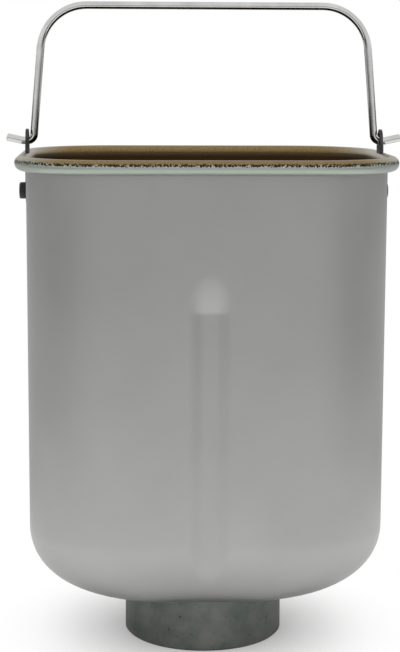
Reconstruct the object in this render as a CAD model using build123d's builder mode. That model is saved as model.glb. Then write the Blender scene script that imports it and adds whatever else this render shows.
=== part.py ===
from build123d import *
from math import cos, radians, sin, tan
import os

# Removable bread pan of a bread machine, in millimetres.
# The origin is the centre of the base ring's underside, +Z is up and the front long wall faces -Y.

# Drawn pan, outside sizes
pan_width = 160.0
pan_depth = 124.0
pan_height = 199.0
corner_radius = 37.0
sheet = 1.5
wall_draft = 0.2
bowl_height = 33.0
bowl_inset_x = 37.0
bowl_inset_y = 25.0
floor_flat = 1.0
bowl_steps = 6
quarter_turn = 90.0

# Rolled rim
curl_radius = 3.25
curl_gap = 0.4

# Kneading rib pressed into each long wall
rib_width = 20.0
rib_floor_width = 8.0
rib_depth = 3.0
rib_top_drop = 48.0
rib_ledge = 17.5
rib_edge = 2.0

# Raised boss in the pan's floor
boss_height = 10.0
boss_top_radius = 12.0
boss_base_radius = 14.0
boss_blend = 2.5
boss_apron = 5.0
boss_hole_radius = 6.0

# Strap lugs with an eye for the wire
strap_width = 12.0
strap_thickness = 1.4
strap_slot_clearance = 0.15
pivot_height = 5.3
eye_radius = 4.4
eye_hole_radius = 2.9
eye_gap = 0.2
shoulder_drop = 1.5
lug_rivet_drop = 17.5

# Rivets through the straps
lug_rivet_radius = 2.0
lug_rivet_head_radius = 3.8
lug_rivet_outer_head = 3.0
lug_rivet_inner_head = 1.2
lug_rivet_edge = 0.8

# Wire bail
wire_radius = 1.75
bail_rise = 61.0
bail_side_gap = 0.45
bail_lean = 4.6
bail_corner = 21.0
bail_eye_bend = 3.0
tail_straight = 1.2
tail_reach = 8.5
tail_lift = 12.0
tail_bend = 6.0
wire_end_chamfer = 0.4

# Cast base ring with its plate, hub, webs and inner bayonet lugs
ring_radius = 36.3
ring_height = 24.0
ring_wall = 3.2
ring_edge = 0.8
plate_thickness = 4.0
cast_blend = 1.5
hub_radius = 12.0
spigot_wall = 2.2
web_thickness = 2.5
web_height = 5.0
web_root = 1.6
web_count = 4
bayonet_count = 4
bayonet_depth = 3.0
bayonet_width = 10.0
bayonet_height = 4.0
bayonet_root = 1.6
bayonet_turn = 45.0

# Rivets through the floor and the ring's plate
base_rivet_circle = 24.0
base_rivet_count = 4
base_rivet_radius = 2.0
base_rivet_head_radius = 3.6
base_rivet_head = 1.3
base_rivet_edge = 0.65
base_rivet_turn = 45.0

# Shaft and its bearing
shaft_radius = 4.0
shaft_flat = 1.2
shaft_foot = 0.5
shaft_chamfer = 0.6
running_clearance = 0.05
bush_wall = 2.0
upper_bush_length = 6.0
lower_bush_length = 6.0
bush_gap = 1.0
seal_height = 4.0
seal_radius = 8.0
seal_web = 1.2
seal_skirt = 1.6
seal_lip = 0.9
seal_spring_radius = 0.5
gasket_thickness = 1.0
gasket_overlap = 1.0
chamber_step = 0.8
clip_thickness = 0.8
clip_radius = 6.5
clip_room = 0.5
groove_depth = 0.8
groove_play = 0.1
clip_washer_thickness = 0.8
thrust_washer_thickness = 1.0
thrust_washer_radius = 9.0
washer_clearance = 0.2
chamber_clearance = 0.3
end_float = 0.2

# Winged coupling and its cross pin
coupling_height = 10.0
coupling_hub_radius = 8.5
wing_span = 38.0
wing_width = 8.0
coupling_edge = 0.8
pin_radius = 1.5

# Kneading paddle
paddle_gap = 1.2
paddle_seat_gap = 0.1
paddle_hub_height = 22.0
paddle_hub_radius = 8.5
paddle_shaft_cover = 2.0
paddle_floor_gap = 5.0
paddle_skirt_gap = 1.5
paddle_skirt_wall = 2.5
paddle_reach = 42.0
paddle_tip_height = 14.0
paddle_tip_lean = 2.5
blade_thickness = 5.2
blade_edge = 1.2
paddle_blend = 4.0
paddle_edge = 2.0
paddle_bore_clearance = 0.1

# Levels and places that follow from the sizes above
pan_bottom = ring_height
floor_level = pan_bottom + sheet
crest = pan_bottom + pan_height
bead_height = 2 * curl_radius
rim_level = crest - curl_radius
bowl_top = pan_bottom + bowl_height
draft_rate = tan(radians(wall_draft))
bowl_width = pan_width - 2 * (rim_level - bowl_top) * draft_rate
bowl_depth = pan_depth - 2 * (rim_level - bowl_top) * draft_rate
floor_width = bowl_width - 2 * bowl_inset_x
floor_depth = bowl_depth - 2 * bowl_inset_y
floor_corner = min(corner_radius, floor_depth / 2 - floor_flat, floor_width / 2 - floor_flat)

strap_face = pan_width / 2
pivot_level = crest + pivot_height
shoulder_level = pivot_level - shoulder_drop
eye_level = pivot_level - wire_radius - eye_gap + eye_hole_radius
lug_rivet_level = crest - lug_rivet_drop

boss_top = floor_level + boss_height
hub_top = boss_top - sheet - gasket_thickness
seal_bottom = hub_top - seal_height
clip_level = seal_bottom - clip_room - clip_thickness
clip_washer_top = clip_level - end_float
bush_top = clip_washer_top - clip_washer_thickness
lower_bush_top = bush_top - upper_bush_length - bush_gap
hub_bottom = lower_bush_top - lower_bush_length
thrust_washer_bottom = hub_bottom - thrust_washer_thickness
coupling_top = thrust_washer_bottom - end_float
coupling_bottom = coupling_top - coupling_height
pin_level = (coupling_bottom + coupling_top) / 2
plate_bottom = ring_height - plate_thickness
bush_radius = shaft_radius + bush_wall
chamber_radius = seal_radius - chamber_step
spigot_radius = seal_radius + spigot_wall
shaft_bore_radius = shaft_radius + running_clearance

paddle_ceiling = boss_top + paddle_gap
paddle_top = paddle_ceiling + paddle_hub_height
paddle_bottom = floor_level + paddle_floor_gap
shaft_ledge = paddle_ceiling - paddle_seat_gap
shaft_top = paddle_top - paddle_shaft_cover
shaft_bottom = coupling_bottom + shaft_foot

STANDING = (Align.CENTER, Align.CENTER, Align.MIN)
RADIAL = (Align.MIN, Align.CENTER, Align.MIN)
SIDES = {"left": -1, "right": 1}
pieces = {}


def bowl_section(turn, skin):
    """Height, width, depth and corner radius where the bowl's profile has turned from the wall.

    turn is in degrees, 0 at the wall and a quarter turn at the floor. skin is how far the surface
    lies inside the pan's outer face.
    """
    shrink = 1 - cos(radians(turn))
    level = bowl_top - (bowl_height - skin) * sin(radians(turn))
    width = bowl_width - 2 * skin - 2 * (bowl_inset_x - skin) * shrink
    depth = bowl_depth - 2 * skin - 2 * (bowl_inset_y - skin) * shrink
    radius = (corner_radius - skin) * (1 - shrink) + floor_corner * shrink
    return level, width, depth, radius


def pan_form(skin):
    """The pan's form up to the rim's curl, as a solid whose faces lie skin inside the outer ones."""
    with BuildPart() as form:
        for step in range(bowl_steps + 1):
            turn = quarter_turn * (1 - step / bowl_steps)
            level, width, depth, radius = bowl_section(turn, skin)
            with BuildSketch(Plane.XY.offset(level)):
                RectangleRounded(width, depth, radius)
        loft()
        walls = [(bowl_top, bowl_width, bowl_depth), (rim_level, pan_width, pan_depth)]
        for level, width, depth in walls:
            with BuildSketch(Plane.XY.offset(level)):
                RectangleRounded(width - 2 * skin, depth - 2 * skin, corner_radius - skin)
        loft(ruled=True)
    return form.part


def rib_growth(run, skin):
    """How far a rib's sloped face moves outward when its surface is offset by the sheet."""
    slope = (run**2 + rib_depth**2) ** 0.5
    return skin * (1 - run / slope) / (rib_depth / slope)


def rib_form(side, skin):
    """The hollow that a kneading rib presses into a long wall, with a sloped ledge at its top."""
    side_growth = rib_growth((rib_width - rib_floor_width) / 2, skin)
    top_growth = rib_growth(rib_ledge, skin)
    mouth_top = crest - rib_top_drop + top_growth
    stations = [
        (pan_depth / 2 - skin, rib_width, mouth_top),
        (pan_depth / 2 - rib_depth - skin, rib_floor_width, mouth_top - rib_ledge),
    ]
    with BuildPart() as rib:
        for reach, width, top in stations:
            with BuildSketch(Plane((0, side * reach, top), x_dir=(1, 0, 0), z_dir=(0, -1, 0))):
                Rectangle(
                    width + 2 * side_growth, top - pan_bottom, align=(Align.CENTER, Align.MAX)
                )
        loft(ruled=True)
        floor_face = rib.faces().filter_by(Axis.Y).sort_by(Axis.Y)[0 if side > 0 else -1]
        fillet(floor_face.edges().filter_by(Axis.Z), rib_edge + skin)
    return rib.part


def flat_ring(outer, inner, low, height):
    """A plain ring about the drive axis, such as a bush, a washer or a gasket."""
    with BuildPart(Plane.XY.offset(low)) as ring:
        Cylinder(outer, height, align=STANDING)
        Cylinder(inner, height, align=STANDING, mode=Mode.SUBTRACT)
    return ring.part


# Pan: the shell between two forms, the rolled rim swept round it, the floor's boss and the holes
with BuildPart() as pan_inside:
    add(pan_form(sheet))
    for side in SIDES.values():
        add(rib_form(side, sheet), mode=Mode.SUBTRACT)

with BuildPart() as pan_shell:
    add(pan_form(0))
    for side in SIDES.values():
        add(rib_form(side, 0), mode=Mode.SUBTRACT)
    add(pan_inside.part, mode=Mode.SUBTRACT)

    with BuildSketch(Plane.XY.offset(rim_level), mode=Mode.PRIVATE) as rim_outline:
        RectangleRounded(pan_width, pan_depth, corner_radius)
    rim_path = rim_outline.sketch.face().outer_wire()
    rim_heading = rim_path % 0
    rim_outward = rim_heading.cross(Vector(0, 0, 1))
    with BuildSketch(Plane(rim_path @ 0, x_dir=rim_outward, z_dir=-rim_heading)):
        with Locations((curl_radius - sheet, 0)):
            Circle(curl_radius)
            Circle(curl_radius - sheet, mode=Mode.SUBTRACT)
        with Locations((curl_gap, 0)):
            Rectangle(bead_height, bead_height, align=(Align.MAX, Align.MAX), mode=Mode.SUBTRACT)
    sweep(path=rim_path)

    with BuildSketch(Plane.XZ) as boss_profile:
        with BuildLine():
            Polyline(
                (0, pan_bottom),
                (boss_base_radius + boss_apron, pan_bottom),
                (boss_base_radius + boss_apron, floor_level),
                (boss_base_radius, floor_level),
                (boss_top_radius, boss_top),
                (0, boss_top),
                close=True,
            )
        make_face()
        boss_bends = boss_profile.vertices().filter_by_position(Axis.X, boss_top_radius, boss_base_radius)
        fillet(boss_bends, boss_blend)
    revolve(axis=Axis.Z)
    with BuildSketch(Plane.XZ):
        with BuildLine():
            Polyline(
                (0, pan_bottom),
                (boss_base_radius - sheet, pan_bottom),
                (boss_top_radius - sheet, boss_top - sheet),
                (0, boss_top - sheet),
                close=True,
            )
        make_face()
    revolve(axis=Axis.Z, mode=Mode.SUBTRACT)
    Hole(boss_hole_radius)
    with PolarLocations(base_rivet_circle, base_rivet_count, base_rivet_turn):
        Hole(base_rivet_radius)
    with Locations(Location((0, 0, lug_rivet_level), (0, quarter_turn, 0))):
        Hole(lug_rivet_radius)
    with BuildSketch(Plane.XY.offset(rim_level)):
        for side in SIDES.values():
            with Locations((side * (strap_face + strap_thickness / 2), 0)):
                Rectangle(
                    strap_thickness + 2 * strap_slot_clearance, strap_width + 2 * strap_slot_clearance
                )
    extrude(amount=bead_height, both=True, mode=Mode.SUBTRACT)
pieces["pan_shell"] = pan_shell.part

# Strap lugs and their rivets, one pair at each end wall
for name, side in SIDES.items():
    strap_plane = Plane((side * strap_face, 0, 0), x_dir=(0, side, 0), z_dir=(side, 0, 0))
    with BuildPart() as lug:
        with BuildSketch(strap_plane):
            with Locations((0, lug_rivet_level)):
                Rectangle(
                    strap_width,
                    shoulder_level - lug_rivet_level,
                    align=(Align.CENTER, Align.MIN),
                )
                Circle(strap_width / 2)
                Circle(lug_rivet_radius, mode=Mode.SUBTRACT)
            with Locations((0, shoulder_level)):
                Rectangle(2 * eye_radius, eye_level - shoulder_level, align=(Align.CENTER, Align.MIN))
            with Locations((0, eye_level)):
                Circle(eye_radius)
                Circle(eye_hole_radius, mode=Mode.SUBTRACT)
        extrude(amount=strap_thickness)
    pieces[f"{name}_lug"] = lug.part

    inner_seat = sheet + (rim_level - lug_rivet_level + lug_rivet_head_radius) * draft_rate
    rivet_plane = Plane((side * strap_face, 0, lug_rivet_level), x_dir=(side, 0, 0), z_dir=(0, -side, 0))
    with BuildPart() as lug_rivet:
        with BuildSketch(rivet_plane) as rivet_profile:
            with BuildLine():
                Polyline(
                    (-inner_seat - lug_rivet_inner_head, 0),
                    (-inner_seat - lug_rivet_inner_head, lug_rivet_head_radius),
                    (-inner_seat, lug_rivet_head_radius),
                    (-inner_seat, lug_rivet_radius),
                    (strap_thickness, lug_rivet_radius),
                    (strap_thickness, lug_rivet_head_radius),
                    (strap_thickness + lug_rivet_outer_head, lug_rivet_head_radius),
                    (strap_thickness + lug_rivet_outer_head, 0),
                    close=True,
                )
            make_face()
            head_corners = rivet_profile.vertices().group_by(Axis.Y)[-1].sort_by(Axis.X)
            fillet([head_corners[0], head_corners[-1]], lug_rivet_edge)
        revolve(axis=Axis(rivet_plane.origin, rivet_plane.x_dir))
    pieces[f"{name}_lug_rivet"] = lug_rivet.part

# Wire bail: a bar between two leaning arms, each bent outward through an eye to a lifted tail
arm_foot = strap_face - bail_side_gap - wire_radius
arm_head = arm_foot - bail_rise * tan(radians(bail_lean))
bail_top = pivot_level + bail_rise
tail_start = strap_face + strap_thickness + tail_straight
tail_end = strap_face + strap_thickness + tail_reach
tail_end_level = pivot_level + (tail_end - tail_start) * tan(radians(tail_lift))
right_half = [
    (arm_head, bail_top),
    (arm_foot, pivot_level),
    (tail_start, pivot_level),
    (tail_end, tail_end_level),
]
left_half = [(-x, z) for x, z in reversed(right_half)]
right_bends = [bail_corner, bail_eye_bend, tail_bend]
with BuildPart() as bail_handle:
    with BuildLine(Plane.XZ) as bail_path:
        FilletPolyline(*left_half, *right_half, radius=right_bends[::-1] + right_bends)
    bail_wire = bail_path.wire()
    with BuildSketch(Plane(bail_wire @ 0, z_dir=bail_wire % 0)):
        Circle(wire_radius)
    sweep(path=bail_wire)
    wire_ends = [bail_handle.faces().sort_by(Axis.X)[end] for end in (0, -1)]
    chamfer([edge for face in wire_ends for edge in face.edges()], wire_end_chamfer)
pieces["bail_handle"] = bail_handle.part

# Cast base ring: a turned section, webs between hub and skirt, bayonet lugs inside the skirt
ring_inner = ring_radius - ring_wall
with BuildPart() as base_ring:
    with BuildSketch(Plane.XZ) as ring_profile:
        with BuildLine():
            Polyline(
                (bush_radius, hub_bottom),
                (hub_radius, hub_bottom),
                (hub_radius, plate_bottom),
                (ring_inner, plate_bottom),
                (ring_inner, 0),
                (ring_radius, 0),
                (ring_radius, ring_height),
                (spigot_radius, ring_height),
                (spigot_radius, hub_top),
                (seal_radius, hub_top),
                (seal_radius, seal_bottom),
                (chamber_radius, seal_bottom),
                (chamber_radius, bush_top),
                (bush_radius, bush_top),
                close=True,
            )
        make_face()
        plate_corners = ring_profile.vertices().filter_by_position(Axis.Y, plate_bottom, plate_bottom)
        fillet(plate_corners, cast_blend)
        foot_corners = ring_profile.vertices().filter_by_position(Axis.Y, 0, 0)
        chamfer(foot_corners, ring_edge)
    revolve(axis=Axis.Z)
    web_length = ring_inner - hub_radius + 2 * web_root
    with PolarLocations(hub_radius - web_root, web_count):
        with Locations((0, 0, plate_bottom - web_height)):
            Box(web_length, web_thickness, web_height, align=RADIAL)
    with PolarLocations(ring_inner - bayonet_depth, bayonet_count, bayonet_turn):
        with Locations((0, 0, ring_edge)):
            Box(bayonet_depth + bayonet_root, bayonet_width, bayonet_height, align=RADIAL)
    with PolarLocations(base_rivet_circle, base_rivet_count, base_rivet_turn):
        Hole(base_rivet_radius)
pieces["base_ring"] = base_ring.part

with BuildPart() as base_rivets:
    with BuildSketch(Plane.XZ) as rivet_section:
        with BuildLine():
            Polyline(
                (0, floor_level + base_rivet_head),
                (base_rivet_head_radius, floor_level + base_rivet_head),
                (base_rivet_head_radius, floor_level),
                (base_rivet_radius, floor_level),
                (base_rivet_radius, plate_bottom),
                (base_rivet_head_radius, plate_bottom),
                (base_rivet_head_radius, plate_bottom - base_rivet_head),
                (0, plate_bottom - base_rivet_head),
                close=True,
            )
        make_face()
        rim_corners = rivet_section.vertices().group_by(Axis.X)[-1].sort_by(Axis.Y)
        fillet([rim_corners[0], rim_corners[-1]], base_rivet_edge)
    base_rivet = revolve(axis=Axis.Z, mode=Mode.PRIVATE)
    with PolarLocations(base_rivet_circle, base_rivet_count, base_rivet_turn):
        add(base_rivet)
pieces["base_rivets"] = base_rivets.part

# Bearing stack in the hub, from the bottom washer to the gasket under the boss
pieces["thrust_washer"] = flat_ring(
    thrust_washer_radius, shaft_radius + washer_clearance, thrust_washer_bottom, thrust_washer_thickness
)
pieces["lower_bush"] = flat_ring(bush_radius, shaft_bore_radius, hub_bottom, lower_bush_length)
pieces["upper_bush"] = flat_ring(
    bush_radius, shaft_bore_radius, bush_top - upper_bush_length, upper_bush_length
)
pieces["clip_washer"] = flat_ring(
    chamber_radius - chamber_clearance, shaft_radius + washer_clearance, bush_top, clip_washer_thickness
)
pieces["hub_gasket"] = flat_ring(
    spigot_radius, seal_radius - gasket_overlap, hub_top, gasket_thickness
)

# Lip seal: an outer skirt, a web and a lip that leans up to the shaft, with its garter spring
lip_middle = (seal_radius - seal_skirt + shaft_bore_radius) / 2
lip_top = hub_top - seal_web
with BuildPart() as shaft_seal:
    with BuildSketch(Plane.XZ):
        with BuildLine():
            Polyline(
                (lip_middle, seal_bottom),
                (seal_radius, seal_bottom),
                (seal_radius, hub_top),
                (seal_radius - seal_skirt, hub_top),
                (seal_radius - seal_skirt, seal_bottom + seal_web),
                (lip_middle, seal_bottom + seal_web),
                (shaft_bore_radius + seal_lip, lip_top),
                (shaft_bore_radius, lip_top),
                close=True,
            )
        make_face()
    revolve(axis=Axis.Z)
pieces["shaft_seal"] = shaft_seal.part

with BuildPart() as seal_spring:
    with Locations((0, 0, seal_bottom + seal_web + seal_spring_radius)):
        Torus(lip_middle + seal_spring_radius, seal_spring_radius)
pieces["seal_spring"] = seal_spring.part

with BuildPart() as retaining_clip:
    with BuildSketch(Plane.XY.offset(clip_level)):
        Circle(clip_radius)
        Circle(shaft_radius - groove_depth, mode=Mode.SUBTRACT)
        with Locations((-clip_radius, 0)):
            Rectangle(2 * clip_radius, 2 * (shaft_radius - groove_depth), mode=Mode.SUBTRACT)
    extrude(amount=clip_thickness)
pieces["retaining_clip"] = retaining_clip.part

pin_place = Location((0, 0, pin_level), (quarter_turn, 0, 0))
with BuildPart() as drive_shaft:
    with Locations((0, 0, shaft_bottom)):
        Cylinder(shaft_radius, shaft_top - shaft_bottom, align=STANDING)
    chamfer(drive_shaft.edges().filter_by(GeomType.CIRCLE), shaft_chamfer)
    with Locations((shaft_radius - shaft_flat, 0, shaft_ledge)):
        Box(
            shaft_radius,
            2 * shaft_radius,
            shaft_top - shaft_ledge,
            align=RADIAL,
            mode=Mode.SUBTRACT,
        )
    with BuildSketch(Plane.XY.offset(clip_level - groove_play / 2)):
        Circle(shaft_radius + groove_depth)
        Circle(shaft_radius - groove_depth, mode=Mode.SUBTRACT)
    extrude(amount=clip_thickness + groove_play, mode=Mode.SUBTRACT)
    with Locations(pin_place):
        Hole(pin_radius)
pieces["drive_shaft"] = drive_shaft.part

with BuildPart() as drive_coupling:
    with BuildSketch(Plane.XY.offset(coupling_bottom)):
        Circle(coupling_hub_radius)
        SlotOverall(wing_span, wing_width)
    extrude(amount=coupling_height)
    chamfer(drive_coupling.faces().sort_by(Axis.Z)[0].edges(), coupling_edge)
    Hole(shaft_radius)
    with Locations(pin_place):
        Hole(pin_radius)
pieces["drive_coupling"] = drive_coupling.part

with BuildPart() as coupling_pin:
    with Locations(pin_place):
        Cylinder(pin_radius, 2 * coupling_hub_radius)
pieces["coupling_pin"] = coupling_pin.part

# Kneading paddle: a bell-shaped hub over the boss and one blade, with a bore that has the shaft's flat
skirt_inner = boss_base_radius + paddle_skirt_gap
skirt_outer = skirt_inner + paddle_skirt_wall
paddle_bore_radius = shaft_radius + paddle_bore_clearance
with BuildPart() as paddle_blade:
    with BuildSketch(Plane.XZ) as blade:
        with BuildLine():
            Polyline(
                (0, paddle_bottom),
                (paddle_reach - paddle_tip_lean, paddle_bottom),
                (paddle_reach, paddle_bottom + paddle_tip_height),
                (paddle_hub_radius + paddle_blend, paddle_top - paddle_blend),
                (0, paddle_top - paddle_blend),
                close=True,
            )
        make_face()
        blade_corners = blade.vertices().filter_by(lambda corner: corner.X > 0)
        fillet(blade_corners, paddle_edge)
    extrude(amount=blade_thickness / 2, both=True)
    blade_faces = paddle_blade.faces().filter_by(Axis.Y)
    fillet([edge for face in blade_faces for edge in face.edges()], blade_edge)

with BuildPart() as kneading_paddle:
    with BuildSketch(Plane.XZ) as bell:
        with BuildLine():
            Polyline(
                (0, paddle_bottom),
                (skirt_outer, paddle_bottom),
                (skirt_outer, paddle_ceiling + paddle_skirt_wall),
                (paddle_hub_radius, paddle_ceiling + paddle_skirt_wall + paddle_blend),
                (paddle_hub_radius, paddle_top),
                (0, paddle_top),
                close=True,
            )
        make_face()
        upper_corners = bell.vertices().filter_by(lambda corner: corner.Y > paddle_bottom)
        fillet(upper_corners.filter_by(lambda corner: corner.X > 0), paddle_edge)
    revolve(axis=Axis.Z)
    add(paddle_blade.part)
    with BuildSketch(Plane.XY.offset(paddle_bottom)):
        Circle(skirt_inner)
    extrude(amount=paddle_ceiling - paddle_bottom, mode=Mode.SUBTRACT)
    with BuildSketch(Plane.XY.offset(paddle_ceiling)):
        Circle(paddle_bore_radius)
        with Locations((paddle_bore_radius - shaft_flat, 0)):
            Rectangle(
                paddle_bore_radius,
                2 * paddle_bore_radius,
                align=(Align.MIN, Align.CENTER),
                mode=Mode.SUBTRACT,
            )
    extrude(amount=paddle_hub_height, mode=Mode.SUBTRACT)
pieces["kneading_paddle"] = kneading_paddle.part

os.makedirs("parts", exist_ok=True)
for name, piece in pieces.items():
    piece.label = name
    export_step(piece, f"parts/{name}.step")
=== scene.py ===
"""Looks of a removable bread pan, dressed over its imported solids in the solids' own frame."""

import logging
import math
from dataclasses import dataclass
from enum import Enum
from functools import partial
from typing import Any, NamedTuple

import bmesh
import bpy
import numpy as np
from mathutils import Matrix, Vector

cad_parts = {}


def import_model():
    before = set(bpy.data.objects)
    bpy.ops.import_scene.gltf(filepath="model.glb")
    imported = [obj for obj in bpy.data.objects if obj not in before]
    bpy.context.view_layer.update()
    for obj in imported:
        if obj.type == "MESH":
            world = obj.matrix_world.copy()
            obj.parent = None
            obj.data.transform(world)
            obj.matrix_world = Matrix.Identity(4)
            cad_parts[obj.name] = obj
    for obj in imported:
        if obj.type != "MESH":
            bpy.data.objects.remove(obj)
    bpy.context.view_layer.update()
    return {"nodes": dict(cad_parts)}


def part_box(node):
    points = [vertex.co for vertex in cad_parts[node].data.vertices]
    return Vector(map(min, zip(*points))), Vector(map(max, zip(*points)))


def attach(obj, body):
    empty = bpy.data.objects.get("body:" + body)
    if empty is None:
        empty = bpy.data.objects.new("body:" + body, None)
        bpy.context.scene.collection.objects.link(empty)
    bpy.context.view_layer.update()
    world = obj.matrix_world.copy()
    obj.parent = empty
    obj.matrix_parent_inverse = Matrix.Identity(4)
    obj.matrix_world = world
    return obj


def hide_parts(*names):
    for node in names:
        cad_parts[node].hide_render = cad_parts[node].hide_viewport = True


Pair = tuple[float, float]
Line = list[Pair]
Socket = bpy.types.NodeSocket
Inputs = dict[str | int, Any]

LOG = logging.getLogger("bread_pan")
MM = 0.001
WHITE = (1.0, 1.0, 1.0, 1.0)
# Corners nearer than this are one corner.
MERGE_REACH = 0.0005 * MM
# Edges that fold by more than this stay sharp: on turned and drawn pieces, and on wire and strip.
CREASE_DEG = 40.0
FINE_CREASE_DEG = 30.0
# The inputs of a pattern.
NOISE = ("Vector", "Scale", "Detail", "Roughness")
# The inputs of a ramp: a value, where it starts and ends, and what comes out there.
RAMP = ("Value", "From Min", "From Max", "To Min", "To Max")
UNIT = (0.0, 1.0)
# Most values of a noise pattern lie in this span.
NOISE_SPAN = (0.3, 0.7)
# How far a turned finish draws its marks out round the axis.
TURNED_SCALE = (0.02, 0.02, 1.0)


class Body(Enum):
    """The moving bodies that the built pieces ride on."""

    PAN = "pan"
    BAIL = "bail"


class Lay(Enum):
    """Which way the fine marks of a metal finish run."""

    CLOUDED = "clouded"
    TURNED = "turned"
    FACED = "faced"


def linear(code: str) -> tuple[float, float, float, float]:
    """Turns an sRGB hex colour into linear light.

    Args:
        code: The colour as "#rrggbb".

    Returns:
        Red, green, blue and a full alpha.
    """
    channels = [int(code[start:start + 2], 16) / 255 for start in (1, 3, 5)]
    lit = [c / 12.92 if c <= 0.04045 else ((c + 0.055) / 1.055) ** 2.4 for c in channels]
    return (lit[0], lit[1], lit[2], 1.0)


def per_metre(size_mm: float) -> float:
    """Returns a pattern's scale from the real size of its features."""
    return 1 / (size_mm * MM)


def add_node(
    tree: bpy.types.NodeTree, kind: str, inputs: Inputs | None = None, **settings: Any
) -> bpy.types.Node:
    """Adds a node with its settings and links.

    Args:
        tree: The tree that gets the node.
        kind: The node's type.
        inputs: What each input takes, by name or number: another node's socket or a constant.
        settings: The node's own properties.

    Returns:
        The new node.
    """
    node = tree.nodes.new(kind)
    for name, value in settings.items():
        setattr(node, name, value)
    for key, value in (inputs or {}).items():
        if isinstance(value, Socket):
            tree.links.new(value, node.inputs[key])
        else:
            node.inputs[key].default_value = value
    return node


def rounded(points: Line, radii: list[float], steps: int) -> Line:
    """Rounds the corners of an open outline with arcs.

    Args:
        points: The outline's corners, its two ends included.
        radii: The arc's radius at each corner between the ends, 0 for a sharp one.
        steps: Straight pieces in each arc.

    Returns:
        The points of the rounded outline.
    """
    path = [points[0]]
    for before, corner, after, radius in zip(points, points[1:], points[2:], radii):
        if radius == 0:
            path.append(corner)
            continue
        middle = np.array(corner)
        arm_in = (np.array(before) - middle) / math.dist(before, corner)
        arm_out = (np.array(after) - middle) / math.dist(after, corner)
        half = math.acos(float(arm_in @ arm_out)) / 2
        bisector = (arm_in + arm_out) / np.linalg.norm(arm_in + arm_out)
        centre = middle + bisector * radius / math.sin(half)
        first = middle + arm_in * radius / math.tan(half) - centre
        last = middle + arm_out * radius / math.tan(half) - centre
        turn = math.pi - 2 * half
        for step in range(steps + 1):
            share = step / steps
            blend = math.sin((1 - share) * turn) * first + math.sin(share * turn) * last
            path.append(tuple(centre + blend / math.sin(turn)))
    path.append(points[-1])
    return path


def new_piece(name: str, mesh: bpy.types.Mesh) -> bpy.types.Object:
    """Puts a mesh into the scene as an object at the origin.

    Args:
        name: The piece's name.
        mesh: Its mesh, already in place.

    Returns:
        The object.
    """
    piece = bpy.data.objects.new(name, mesh)
    bpy.context.scene.collection.objects.link(piece)
    return piece


def close_mesh(mesh: bpy.types.Mesh, crease_deg: float) -> None:
    """Merges doubled corners, turns the faces outward and smooths all but sharp edges.

    Args:
        mesh: The mesh, changed in place.
        crease_deg: Edges that fold by more than this stay sharp.
    """
    work = bmesh.new()
    work.from_mesh(mesh)
    bmesh.ops.remove_doubles(work, verts=work.verts, dist=MERGE_REACH)
    bmesh.ops.dissolve_degenerate(work, edges=work.edges, dist=MERGE_REACH)
    bmesh.ops.recalc_face_normals(work, faces=work.faces)
    work.to_mesh(mesh)
    work.free()
    mesh.shade_smooth()
    mesh.set_sharp_from_angle(angle=math.radians(crease_deg))


def lathe(name: str, outline: Line, segments: int, along_x: bool) -> bpy.types.Mesh:
    """Turns an outline round an axis.

    Args:
        name: The mesh's name.
        outline: Points of place along the axis and radius, in millimetres.
        segments: Faces round the axis.
        along_x: Whether the axis is X, and otherwise Z.

    Returns:
        The closed mesh.
    """
    points = np.array(outline) * MM
    angles = np.linspace(0, 2 * math.pi, segments, endpoint=False)
    across = np.outer(np.cos(angles), points[:, 1])
    up = np.outer(np.sin(angles), points[:, 1])
    along = np.tile(points[:, 0], (segments, 1))
    order = (along, across, up) if along_x else (across, up, along)
    corners = np.stack(order, axis=-1).reshape(-1, 3)
    count = len(points)
    faces = []
    for turn in range(segments):
        here, there = turn * count, (turn + 1) % segments * count
        faces += [(here + k, here + k + 1, there + k + 1, there + k) for k in range(count - 1)]
    mesh = bpy.data.meshes.new(name)
    mesh.from_pydata(corners.tolist(), [], faces)
    close_mesh(mesh, CREASE_DEG)
    return mesh


def bare_material(name: str) -> bpy.types.Material:
    """Makes a material whose tree has no nodes.

    Args:
        name: The material's name.

    Returns:
        The material.
    """
    material = bpy.data.materials.new(name)
    material.use_nodes = True
    material.node_tree.nodes.clear()
    return material


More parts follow.
